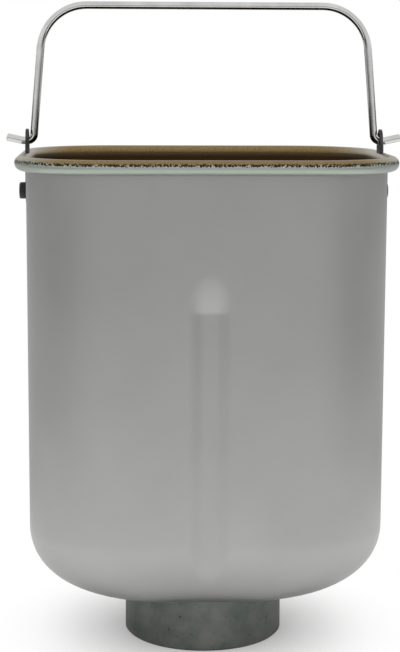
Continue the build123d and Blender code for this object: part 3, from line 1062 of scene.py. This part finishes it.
        # Each step names its result, its operation and what it takes.
        for result, operation, *sources in (
            # The wall leans in by its draft, and the rib's bed leans with it.
            ("fallen", "SUBTRACT", "Rim level", "Z"),
            ("lean", "MULTIPLY_ADD", "fallen", "Draft rate", "skin"),
            ("face", "SUBTRACT", "Reach", "lean"),
            # The ledge deepens from its top to its fold.
            ("below", "SUBTRACT", "Mouth top", "Z"),
            ("ledge share", "DIVIDE", "below", "Ledge"),
            ("drop", "MAXIMUM", "ledge share", 0.0),
            ("bent", "POWER", "drop", "Ledge bend"),
            ("ledge", "SMOOTH_MIN", "bent", 1.0, "Ledge fold"),
            # The mouth opens beside the ledge in a round arch.
            ("rise", "SUBTRACT", 1.0, "drop"),
            ("rest", "MAXIMUM", "rise", 0.0),
            ("rest square", "MULTIPLY", "rest", "rest"),
            ("arch square", "SUBTRACT", 1.0, "rest square"),
            ("arch", "SQRT", "arch square"),
            ("across", "ABSOLUTE", "X"),
            ("spread", "DIVIDE", "across", "arch"),
            ("inward", "SUBTRACT", "Mouth half width", "spread"),
        ):
            inputs = {k: made[s] if isinstance(s, str) else s for k, s in enumerate(sources)}
            made[result] = add("ShaderNodeMath", inputs, operation=operation).outputs[0]
        run = dict(zip(RAMP, (made["inward"], 0.0, given["Flank run"])))
        made["flank"] = add("ShaderNodeMapRange", run, interpolation_type="SMOOTHSTEP").outputs[0]
        for result, operation, *sources in (
            ("share", "MULTIPLY", "flank", "ledge"),
            ("sink", "MULTIPLY", "Rib depth", "share"),
            ("bed", "SUBTRACT", "face", "sink"),
            ("softness", "MULTIPLY", "Run-out softness", "share"),
            ("out", "ABSOLUTE", "Y"),
            ("pressed", "SMOOTH_MIN", "out", "bed", "softness"),
            ("side", "SIGN", "Y"),
            ("turned", "MULTIPLY", "pressed", "side"),
        ):
            inputs = {k: made[source] for k, source in enumerate(sources)}
            made[result] = add("ShaderNodeMath", inputs, operation=operation).outputs[0]
        spot = {0: place["X"], 1: made["turned"], 2: place["Z"]}
        target = add("ShaderNodeCombineXYZ", spot).outputs[0]
        sunk = {0: made["share"], 1: 0.0}
        within = add("FunctionNodeCompare", sunk, data_type="FLOAT", operation="GREATER_THAN")
        moved = add(
            "GeometryNodeSetPosition",
            {"Geometry": given["Geometry"], "Selection": within.outputs[0], "Position": target},
        )
        press.end(moved.outputs["Geometry"])
        return press

    def build(self) -> None:
        """Builds the pan and puts it on its body."""
        mesh = self.rib_press().shape("pan_sheet", self.blank())
        settle(new_piece("pan_sheet", mesh), Body.PAN, "pan_aluminium", "pan_shell")


@dataclass
class WireBail:
    """The wire bail: a bar and two leaning arms, each bent out through an eye to a lifted tail."""

    wire_radius: float = 1.75
    side_gap: float = 0.45
    lean: float = 4.6
    corner: float = 21.0
    eye_bend: float = 3.0
    tail_straight: float = 1.2
    tail_reach: float = 8.5
    tail_lift: float = 12.0
    tail_bend: float = 6.0
    end_chamfer: float = 0.4
    bend_steps: int = 16
    wire_sides: int = 28

    def route(self) -> tuple[Line, list[float], list[float]]:
        """Works out the wire's line.

        Returns:
            The corners in X and Z, each one's bend radius and the wire's share of its girth there.
        """
        low, high = (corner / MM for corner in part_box("bail_handle"))
        strap_low, strap_high = (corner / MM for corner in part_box("right_lug"))
        pivot = low.z + self.wire_radius
        top = high.z - self.wire_radius
        foot = strap_low.x - self.side_gap - self.wire_radius
        head = foot - (top - pivot) * math.tan(math.radians(self.lean))
        tail = strap_high.x + self.tail_straight
        reach = self.tail_reach - self.tail_straight
        lift = math.radians(self.tail_lift)
        end = (tail + reach, pivot + reach * math.tan(lift))
        cut = self.end_chamfer
        collar = (end[0] - cut * math.cos(lift), end[1] - cut * math.sin(lift))
        right = [(head, top), (foot, pivot), (tail, pivot), collar, end]
        bends = [self.corner, self.eye_bend, self.tail_bend, 0.0, 0.0]
        girths = [1.0, 1.0, 1.0, 1.0, 1 - cut / self.wire_radius]
        left = [(-x, z) for x, z in reversed(right)]
        return left + right, bends[::-1] + bends, girths[::-1] + girths

    def build(self) -> None:
        """Bends the wire along its line and puts it on its body."""
        corners, bends, girths = self.route()
        line = bpy.data.meshes.new("bail_line")
        steps = [(k, k + 1) for k in range(len(corners) - 1)]
        line.from_pydata([(x * MM, 0, z * MM) for x, z in corners], steps, [])
        for name, values in (("bend", np.array(bends) * MM), ("girth", np.array(girths))):
            layer = line.attributes.new(name, "FLOAT", "POINT")
            layer.data.foreach_set("value", values.astype(np.float32))
        bender = ShapeTree(
            "bend_wire",
            {
                "Wire radius": self.wire_radius * MM,
                "Wire sides": self.wire_sides,
                "Bend steps": self.bend_steps,
            },
            WIRE_FINISH,
        )
        given, add = bender.given, bender.add
        path = add("GeometryNodeMeshToCurve", {"Mesh": given["Geometry"]}).outputs["Curve"]
        bend, girth = (
            add("GeometryNodeInputNamedAttribute", {"Name": name}, data_type="FLOAT").outputs[0]
            for name in ("bend", "girth")
        )
        fillet = {"Curve": path, "Count": given["Bend steps"], "Radius": bend}
        bent = add("GeometryNodeFilletCurve", fillet, mode="POLY").outputs["Curve"]
        size = {"Resolution": given["Wire sides"], "Radius": given["Wire radius"]}
        ring = add("GeometryNodeCurvePrimitiveCircle", size, mode="RADIUS").outputs["Curve"]
        sweep = {"Curve": bent, "Profile Curve": ring, "Scale": girth, "Fill Caps": True}
        wire = add("GeometryNodeCurveToMesh", sweep)
        bender.end(wire.outputs["Mesh"])
        mesh = bender.shape("bail_wire", line)
        close_mesh(mesh, FINE_CREASE_DEG)
        settle(new_piece("bail_wire", mesh), Body.BAIL, "wire_steel", "bail_handle")


@dataclass
class StrapLug:
    """A stamped strap that comes up through the rim and ends in a round eye for the wire."""

    side: str
    strap_width: float = 12.0
    eye_radius: float = 4.4
    eye_hole_radius: float = 2.9
    shoulder_rise: float = 3.8
    edge: float = 0.28
    edge_fold_deg: float = 60.0
    level_reach: float = 0.01
    arc_steps: int = 18

    def outline(self) -> tuple[Line, Line]:
        """Draws the strap's blank.

        Returns:
            The strap's outer line and its eye's hole, in Y and Z.
        """
        low, high = (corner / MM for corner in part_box(f"{self.side}_lug"))
        half, eye, hole = self.strap_width / 2, self.eye_radius, self.eye_hole_radius
        eye_level = high.z - eye
        foot_level = low.z + half
        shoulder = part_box("pan_shell")[1].z / MM + self.shoulder_rise
        half_turn = np.linspace(0, math.pi, self.arc_steps)
        foot = [(-half * math.cos(a), foot_level - half * math.sin(a)) for a in half_turn]
        crown = [(eye * math.cos(a), eye_level + eye * math.sin(a)) for a in half_turn]
        outer = [*foot, (half, shoulder), (eye, shoulder), *crown]
        outer += [(-eye, shoulder), (-half, shoulder)]
        whole_turn = np.linspace(0, 2 * math.pi, 2 * self.arc_steps, endpoint=False)
        return outer, [(hole * math.cos(a), eye_level + hole * math.sin(a)) for a in whole_turn]

    def build(self) -> None:
        """Stamps the strap, breaks its edges and puts it on its body."""
        node = f"{self.side}_lug"
        low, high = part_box(node)
        work = bmesh.new()
        edges = []
        for loop in self.outline():
            corners = [work.verts.new((low.x, y * MM, z * MM)) for y, z in loop]
            edges += [work.edges.new((a, b)) for a, b in zip(corners, corners[1:] + corners[:1])]
        bmesh.ops.triangle_fill(work, use_beauty=True, edges=edges)
        grown = bmesh.ops.extrude_face_region(work, geom=work.faces[:], use_keep_orig=True)
        lifted = [item for item in grown["geom"] if isinstance(item, bmesh.types.BMVert)]
        bmesh.ops.translate(work, verts=lifted, vec=(high.x - low.x, 0, 0))
        bmesh.ops.recalc_face_normals(work, faces=work.faces)
        fold, reach = math.radians(self.edge_fold_deg), self.level_reach * MM
        rims = [edge for edge in work.edges if edge.is_manifold and edge.calc_face_angle() > fold]
        rims = [e for e in rims if abs(e.verts[0].co.x - e.verts[1].co.x) < reach]
        offset = self.edge * MM
        bmesh.ops.bevel(work, geom=rims, offset=offset, segments=2, affect="EDGES", profile=0.5)
        mesh = bpy.data.meshes.new(f"{self.side}_strap")
        work.to_mesh(mesh)
        work.free()
        mesh.shade_smooth()
        mesh.set_sharp_from_angle(angle=math.radians(FINE_CREASE_DEG))
        mesh.materials.append(LUG_FINISH.material())
        settle(new_piece(f"{self.side}_strap", mesh), Body.PAN, "lug_steel", node)


@dataclass
class RivetSets:
    """Two rivets through the straps and end walls, four through the floor and the ring's plate."""

    shank_radius: float = 2.0
    strap_head_radius: float = 3.8
    strap_head_edge: float = 0.8
    strap_inner_head: float = 1.2
    strap_count: int = 2
    base_head_radius: float = 3.6
    base_head: float = 1.3
    base_head_edge: float = 0.65
    base_pitch_radius: float = 24.0
    base_count: int = 4
    base_turn: float = 45.0
    edge_steps: int = 6
    segments: int = 40

    def _outline(self, ends: Pair, grip: Pair, head_radius: float, edge: float) -> Line:
        """Draws one half of a rivet.

        Args:
            ends: Where its two heads end, along its axis.
            grip: Where the heads meet the shank.
            head_radius: The heads' radius.
            edge: The radius of the heads' outer edges.

        Returns:
            Points of place along the axis and radius.
        """
        (back, front), (low, high), shank = ends, grip, self.shank_radius
        corners = [(back, 0), (back, head_radius), (low, head_radius), (low, shank)]
        corners += [(high, shank), (high, head_radius), (front, head_radius), (front, 0)]
        return rounded(corners, [edge, 0, 0, 0, 0, edge], self.edge_steps)

    def _set(
        self, name: str, blank: bpy.types.Mesh, sizes: dict[str, float | int], finish: Finish
    ) -> bpy.types.Mesh:
        """Sets copies of a rivet on a circle, each turned to face outward.

        Args:
            name: The name of the rivets' mesh.
            blank: One rivet, with its axis in place.
            sizes: The circle's named sizes.
            finish: The rivets' finish.

        Returns:
            The rivets as one mesh.
        """
        setter = ShapeTree(f"set_{name}", sizes, finish)
        given, add = setter.given, setter.add
        inputs = {0: math.tau, 1: given["Count"]}
        share = add("ShaderNodeMath", inputs, operation="DIVIDE").outputs[0]
        inputs = {0: add("GeometryNodeInputIndex").outputs[0], 1: share, 2: given["Turn"]}
        heading = add("ShaderNodeMath", inputs, operation="MULTIPLY_ADD").outputs[0]
        along, across = (
            add("ShaderNodeMath", {0: heading}, operation=operation).outputs[0]
            for operation in ("COSINE", "SINE")
        )
        spot, lift, facing = (
            add("ShaderNodeCombineXYZ", parts).outputs[0]
            for parts in ({0: along, 1: across}, {2: given["Level"]}, {2: heading})
        )
        stretch = {0: spot, "Scale": given["Pitch radius"]}
        out = add("ShaderNodeVectorMath", stretch, operation="SCALE").outputs[0]
        place = add("ShaderNodeVectorMath", {0: out, 1: lift}, operation="ADD").outputs[0]
        points = add("GeometryNodePoints", {"Count": given["Count"], "Position": place}).outputs[0]
        copies = add(
            "GeometryNodeInstanceOnPoints",
            {"Points": points, "Instance": given["Geometry"], "Rotation": facing},
        )
        setter.end(copies.outputs["Instances"])
        return setter.shape(name, blank)

    def build(self) -> None:
        """Heads both sets of rivets and puts them on the pan."""
        low, high = (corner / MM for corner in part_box("right_lug_rivet"))
        strap_low, strap_high = (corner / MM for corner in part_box("right_lug"))
        back, front = low.x - strap_low.x, high.x - strap_low.x
        grip = (back + self.strap_inner_head, strap_high.x - strap_low.x)
        outline = self._outline((back, front), grip, self.strap_head_radius, self.strap_head_edge)
        sizes = {
            "Count": self.strap_count,
            "Pitch radius": strap_low.x * MM,
            "Turn": 0.0,
            "Level": (low.z + high.z) / 2 * MM,
        }
        blank = lathe("strap_rivet", outline, self.segments, True)
        piece = new_piece("strap_rivets", self._set("strap_rivets", blank, sizes, RIVET_FINISH))
        settle(piece, Body.PAN, "rivet_steel", "left_lug_rivet", "right_lug_rivet")

        low, high = (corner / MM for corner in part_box("base_rivets"))
        grip = (low.z + self.base_head, high.z - self.base_head)
        outline = self._outline((low.z, high.z), grip, self.base_head_radius, self.base_head_edge)
        sizes = {
            "Count": self.base_count,
            "Pitch radius": self.base_pitch_radius * MM,
            "Turn": math.radians(self.base_turn),
            "Level": 0.0,
        }
        blank = lathe("floor_rivet", outline, self.segments, False)
        mesh = self._set("floor_rivets", blank, sizes, BASE_RIVET_FINISH)
        settle(new_piece("floor_rivets", mesh), Body.PAN, "rivet_aluminium", "base_rivets")


@dataclass
class DressedSolids:
    """The solids that keep their shape: the cast ring, the drive's bearing stack and the paddle."""

    nodes: dict[str, bpy.types.Object]

    def build(self) -> None:
        """Gives each kept solid its finish."""
        finishes = {
            "base_ring": RING_FINISH,
            "upper_bush": BUSH_FINISH,
            "lower_bush": BUSH_FINISH,
            "shaft_seal": SEAL_FINISH,
            "seal_spring": SPRING_FINISH,
            "hub_gasket": GASKET_FINISH,
            "retaining_clip": WASHER_FINISH,
            "clip_washer": WASHER_FINISH,
            "thrust_washer": WASHER_FINISH,
            "drive_shaft": SHAFT_FINISH,
            "drive_coupling": COUPLING_FINISH,
            "coupling_pin": SHAFT_FINISH,
            "kneading_paddle": PADDLE_FINISH,
        }
        for name, finish in finishes.items():
            for slot in self.nodes[name].material_slots:
                slot.material = finish.material()
            LOG.info("%s keeps its solid, finished as %s", name, finish.name)


@dataclass
class Studio:
    """A pale floor, a soft lamp, a light tent and the camera, in metres and degrees."""

    image_width_px: int = 400
    image_height_px: int = 652
    focal_px: float = 1636.9
    axis_y_px: float = 250.9
    camera_distance: float = 0.749
    camera_height: float = 0.2629
    camera_yaw: float = 2.815
    aim_yaw: float = 2.669
    aim_pitch: float = 6.5
    camera_roll: float = 0.22
    sensor_mm: float = 36.0
    floor_tone: str = "#f4f4f3"
    floor_radius: float = 0.61
    floor_middle_y: float = -0.41
    floor_sides: int = 96
    floor_fade: Pair = (0.0, 0.11)
    mirrored_fade: Pair = (0.14, 0.45)
    tent_radius: float = 1.6
    tent_segments: tuple[int, int] = (64, 32)
    tent_front: Pair = (0.1, 0.95)
    tent_foot_back: float = 0.72
    tent_foot_turn: Pair = (-0.9, 0.2)
    tent_rise: Pair = (0.04, 0.28)
    tent_back: float = 0.05
    tent_turn: Pair = (-0.6, 0.05)
    tent_skirt: Pair = (0.1, 0.15)
    tent_roof: Pair = (0.3, 0.4)
    lamp_place: tuple[float, float, float] = (0.0, -0.1, 1.3)
    lamp_aim: tuple[float, float, float] = (0.0, 0.0, 0.12)
    lamp_side: float = 1.2
    lamp_watts: float = 9.0
    soft_light: float = 0.45

    def floor(self) -> None:
        """Lays a round pale floor that fades into the white surround."""
        mesh = bpy.data.meshes.new("studio_floor")
        turns = np.linspace(0, 2 * math.pi, self.floor_sides, endpoint=False)
        reach, middle = self.floor_radius, self.floor_middle_y
        corners = [(reach * math.cos(a), middle + reach * math.sin(a), 0) for a in turns]
        mesh.from_pydata(corners, [], [tuple(range(len(corners)))])
        material = bare_material("pale_studio_floor")
        add = partial(add_node, material.node_tree)
        place = add("ShaderNodeTexCoord").outputs["Object"]
        distance = add("ShaderNodeVectorMath", {0: place}, operation="LENGTH").outputs[1]
        rays = add("ShaderNodeLightPath").outputs
        inputs = {0: rays["Is Glossy Ray"], 1: rays["Is Transmission Ray"]}
        mirrored = add("ShaderNodeMath", inputs, operation="MAXIMUM").outputs[0]
        shares = []
        fades = ((rays["Is Camera Ray"], self.floor_fade), (mirrored, self.mirrored_fade))
        for seen, fade in fades:
            inputs = dict(zip(RAMP, (distance, *fade)))
            far = add("ShaderNodeMapRange", inputs, interpolation_type="SMOOTHSTEP").outputs[0]
            shares.append(add("ShaderNodeMath", {0: seen, 1: far}, operation="MULTIPLY").outputs[0])
        share = add("ShaderNodeMath", dict(enumerate(shares)), operation="MAXIMUM").outputs[0]
        paper = add("ShaderNodeBsdfDiffuse", {"Color": linear(self.floor_tone)}).outputs[0]
        white = add("ShaderNodeEmission", {"Color": WHITE, "Strength": 1.0}).outputs[0]
        surface = add("ShaderNodeMixShader", {0: share, 1: paper, 2: white}).outputs[0]
        # Seen from below, the floor is clear, so that the pan's underside shows.
        below = add("ShaderNodeNewGeometry").outputs["Backfacing"]
        clear = add("ShaderNodeBsdfTransparent").outputs[0]
        surface = add("ShaderNodeMixShader", {0: below, 1: surface, 2: clear}).outputs[0]
        add("ShaderNodeOutputMaterial", {"Surface": surface})
        mesh.materials.append(material)
        new_piece("studio_floor", mesh)

    def tent(self) -> None:
        """Sets a round light tent over the pan for the metal to reflect.

        It is bright above, and dark at its front foot and in a low band round its sides and back.
        """
        mesh = bpy.data.meshes.new("light_tent")
        work = bmesh.new()
        around, upward = self.tent_segments
        bmesh.ops.create_uvsphere(
            work, u_segments=around, v_segments=upward, radius=self.tent_radius
        )
        work.to_mesh(mesh)
        work.free()
        material = bare_material("lit_tent_cloth")
        add = partial(add_node, material.node_tree)
        place = add("ShaderNodeTexCoord").outputs["Object"]
        spot = add("ShaderNodeSeparateXYZ", {0: place}).outputs
        dark, bright = self.tent_front
        inputs = dict(zip(RAMP, (spot["Y"], *self.tent_foot_turn, dark, self.tent_foot_back)))
        foot = add("ShaderNodeMapRange", inputs).outputs[0]
        front, behind, above_skirt, below_roof = (
            add(
                "ShaderNodeMapRange", dict(zip(RAMP, ends)), interpolation_type="SMOOTHSTEP"
            ).outputs[0]
            for ends in (
                (spot["Z"], *self.tent_rise, foot, bright),
                (spot["Y"], *self.tent_turn),
                (spot["Z"], *self.tent_skirt),
                (spot["Z"], *self.tent_roof[::-1]),
            )
        )
        inputs = {0: above_skirt, 1: below_roof}
        band = add("ShaderNodeMath", inputs, operation="MULTIPLY").outputs[0]
        dim = add("ShaderNodeMath", {0: behind, 1: band}, operation="MULTIPLY").outputs[0]
        inputs = {0: dim, 2: front, 3: self.tent_back}
        glow = add("ShaderNodeMix", inputs, data_type="FLOAT").outputs[0]
        cloth = add("ShaderNodeEmission", {"Color": WHITE, "Strength": glow}).outputs[0]
        add("ShaderNodeOutputMaterial", {"Surface": cloth})
        mesh.materials.append(material)
        tent = new_piece("light_tent", mesh)
        tent.visible_camera = False

    def lamp(self) -> None:
        """Hangs a soft square lamp that points at the pan's middle."""
        data = bpy.data.lights.new("overhead_softbox", "AREA")
        data.shape = "RECTANGLE"
        data.size = data.size_y = self.lamp_side
        data.energy = self.lamp_watts
        lamp = bpy.data.objects.new("overhead_softbox", data)
        lamp.location = self.lamp_place
        ray = Vector(self.lamp_aim) - Vector(self.lamp_place)
        lamp.rotation_euler = ray.to_track_quat("-Z", "Y").to_euler()
        lamp.visible_camera = False
        lamp.visible_glossy = False
        bpy.context.scene.collection.objects.link(lamp)

    def surround(self) -> None:
        """Makes a white surround that lights the scene softly."""
        world = bpy.data.worlds.new("white_surround")
        bpy.context.scene.world = world
        world.use_nodes = True
        world.node_tree.nodes.clear()
        add = partial(add_node, world.node_tree)
        rays = add("ShaderNodeLightPath").outputs
        seen = rays["Is Camera Ray"]
        for ray in ("Is Glossy Ray", "Is Transmission Ray"):
            seen = add("ShaderNodeMath", {0: seen, 1: rays[ray]}, operation="MAXIMUM").outputs[0]
        soft, white = (
            add("ShaderNodeBackground", {"Color": WHITE, "Strength": strength}).outputs[0]
            for strength in (self.soft_light, 1.0)
        )
        sky = add("ShaderNodeMixShader", {0: seen, 1: soft, 2: white}).outputs[0]
        add("ShaderNodeOutputWorld", {"Surface": sky})

    def camera(self) -> None:
        """Stands the camera at the photograph's viewpoint."""
        data = bpy.data.cameras.new("photo_camera")
        longest = max(self.image_width_px, self.image_height_px)
        data.sensor_width = self.sensor_mm
        data.lens = self.focal_px / longest * self.sensor_mm
        data.shift_y = -(self.image_height_px / 2 - self.axis_y_px) / longest
        angles = (self.camera_yaw, self.aim_yaw, self.aim_pitch, self.camera_roll)
        yaw, aim, pitch, roll = (math.radians(angle) for angle in angles)
        away = self.camera_distance
        place = Vector((-away * math.sin(yaw), -away * math.cos(yaw), self.camera_height))
        level = math.cos(pitch)
        ahead = Vector((math.sin(aim) * level, math.cos(aim) * level, -math.sin(pitch)))
        right = ahead.cross(Vector((0, 0, 1))).normalized()
        up = right.cross(ahead)
        across = right * math.cos(roll) + up * math.sin(roll)
        upright = up * math.cos(roll) - right * math.sin(roll)
        turn = Matrix((across, upright, -ahead)).transposed().to_4x4()
        camera = bpy.data.objects.new("photo_camera", data)
        camera.matrix_world = Matrix.Translation(place) @ turn
        bpy.context.scene.collection.objects.link(camera)
        bpy.context.scene.camera = camera

    def build(self) -> None:
        """Sets the stage, the light and the camera."""
        bpy.context.scene.view_settings.view_transform = "Standard"
        self.floor()
        self.tent()
        self.lamp()
        self.surround()
        self.camera()


def main() -> None:
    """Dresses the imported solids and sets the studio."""
    logging.basicConfig(level=logging.INFO, format="%(name)s: %(message)s")
    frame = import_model()
    DrawnPan().build()
    WireBail().build()
    for side in ("left", "right"):
        StrapLug(side).build()
    RivetSets().build()
    DressedSolids(frame["nodes"]).build()
    Studio().build()


if __name__ == "__main__":
    main()
